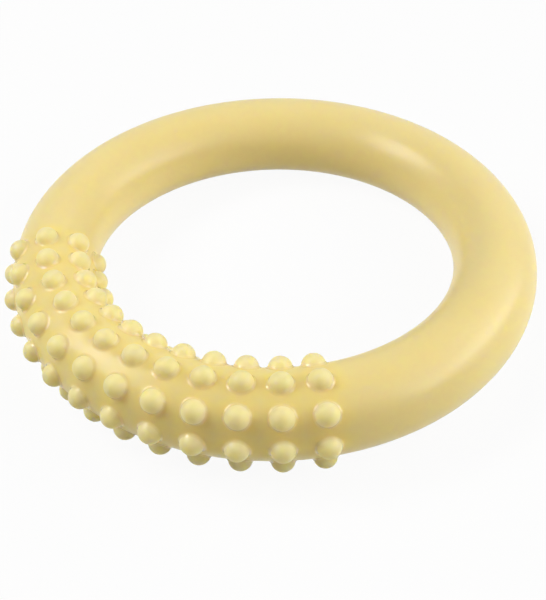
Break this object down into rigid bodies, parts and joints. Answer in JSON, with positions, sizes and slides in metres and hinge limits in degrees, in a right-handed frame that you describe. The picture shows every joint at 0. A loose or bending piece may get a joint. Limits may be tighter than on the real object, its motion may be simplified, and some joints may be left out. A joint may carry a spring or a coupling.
{
  "type": "dog dental chew ring",
  "caption": "Soft rubber ring for a dog to chew, with a plain round stretch to hold and a stretch set all round with domed nubs that clean the teeth.",
  "frame": {"origin": "centre of the ring, on its mid-plane", "axes": "+Z along the ring's axis, -Y towards the middle of the nubbed stretch"},
  "size_m": [0.1498, 0.1526, 0.0292],
  "materials": {
    "ring_rubber": "satin"
  },
  "bodies": {
    "root": {"smooth_grip_arc": "ring_rubber", "nubbed_chew_arc": "ring_rubber"}
  },
  "joints": []
}
